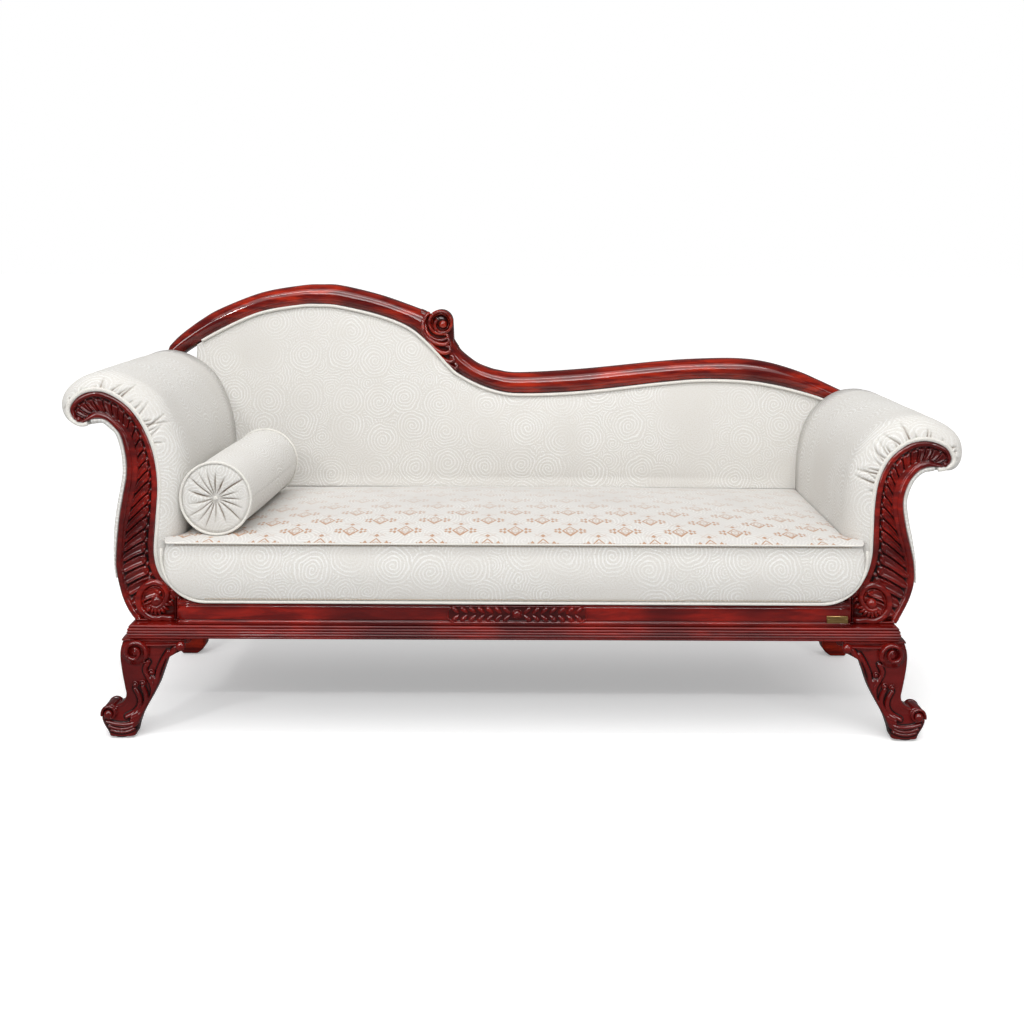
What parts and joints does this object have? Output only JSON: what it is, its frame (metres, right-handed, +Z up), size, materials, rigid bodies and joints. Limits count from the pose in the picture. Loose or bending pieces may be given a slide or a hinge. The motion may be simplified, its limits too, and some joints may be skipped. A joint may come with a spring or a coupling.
{
  "type": "fainting couch",
  "caption": "Upholstered fainting couch with carved scroll arms of unequal height, a waved crest rail, a crowned seat and a loose bolster.",
  "frame": {"origin": "centre of the bounding box, on the floor under the couch", "axes": "+X along the couch towards the low foot end at the viewer's right, +Y from the front to the back, +Z up"},
  "size_m": [2.1027, 0.6885, 1.0102],
  "materials": {
    "mahogany": "polished dark red mahogany",
    "frame_wood": "raw hardwood",
    "damask": "cream tone-on-tone spiral damask",
    "brocade": "off-white brocade with tan lozenges",
    "stuffing": "stitched stuffing",
    "webbing": "jute webbing",
    "dust_cloth": "black cambric",
    "steel": "zinc plated"
  },
  "bodies": {
    "frame": {"plinth_front": "mahogany", "plinth_back": "mahogany", "plinth_left": "mahogany", "plinth_right": "mahogany", "front_rail": "mahogany", "back_rail": "frame_wood", "end_rail_left": "frame_wood", "end_rail_right": "frame_wood", "seat_bearers": "frame_wood", "rail_carving": "mahogany", "corner_blocks": "frame_wood", "corner_screws": "steel", "leg_front_left": "mahogany", "leg_front_right": "mahogany", "leg_back_left": "mahogany", "leg_back_right": "mahogany", "leg_bolts": "steel", "foot_glides": "steel", "arm_facing_left": "mahogany", "arm_facing_right": "mahogany", "arm_back_board_left": "frame_wood", "arm_back_board_right": "frame_wood", "arm_stretchers_left": "frame_wood", "arm_stretchers_right": "frame_wood", "end_apron_left": "mahogany", "end_apron_right": "mahogany", "arm_pad_left": "damask", "arm_pad_right": "damask", "arm_outside_left": "damask", "arm_outside_right": "damask", "back_posts": "frame_wood", "back_slats": "frame_wood", "crest_arch": "mahogany", "crest_scroll": "mahogany", "crest_tail": "mahogany", "back_pad": "damask", "back_welt": "damask", "back_outside_panel": "damask", "seat_webbing": "webbing", "seat_core": "stuffing", "seat_border": "damask", "seat_pad": "brocade", "seat_welt_top": "damask", "seat_welt_bottom": "damask", "dust_cover": "dust_cloth"},
    "bolster": {"bolster_cover": "damask", "bolster_ends": "damask", "bolster_welts": "damask", "bolster_ties": "damask"}
  },
  "joints": [
    {"name": "bolster_lift", "type": "slide", "parent": "frame", "child": "bolster", "axis": [0, 0, 1], "range_m": [0, 0.45]}
  ]
}
